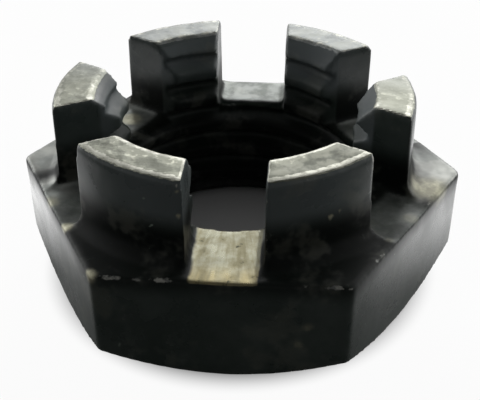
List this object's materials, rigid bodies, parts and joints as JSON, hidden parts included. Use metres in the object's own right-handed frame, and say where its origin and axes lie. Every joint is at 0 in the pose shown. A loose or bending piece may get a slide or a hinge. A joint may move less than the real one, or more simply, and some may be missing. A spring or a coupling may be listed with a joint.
{
  "type": "castle nut",
  "caption": "Hexagon nut with a round slotted crown: prongs over the corners, slots over the flats for a split pin, and a countersunk bore.",
  "frame": {"origin": "centre of the bearing face, on the axis of the bore, where the nut rests", "axes": "+Z along the bore, from the bearing face up through the crown; +X through one corner of the hexagon, so that a flat with its slot faces -Y"},
  "size_m": [0.0276, 0.024, 0.0123],
  "materials": {
    "black_steel": "blackened steel, semi-gloss, with the prong tops and slot floors machined back to bare grey steel and worn bright edges"
  },
  "bodies": {
    "root": {"castle_nut": "black_steel"}
  },
  "joints": []
}
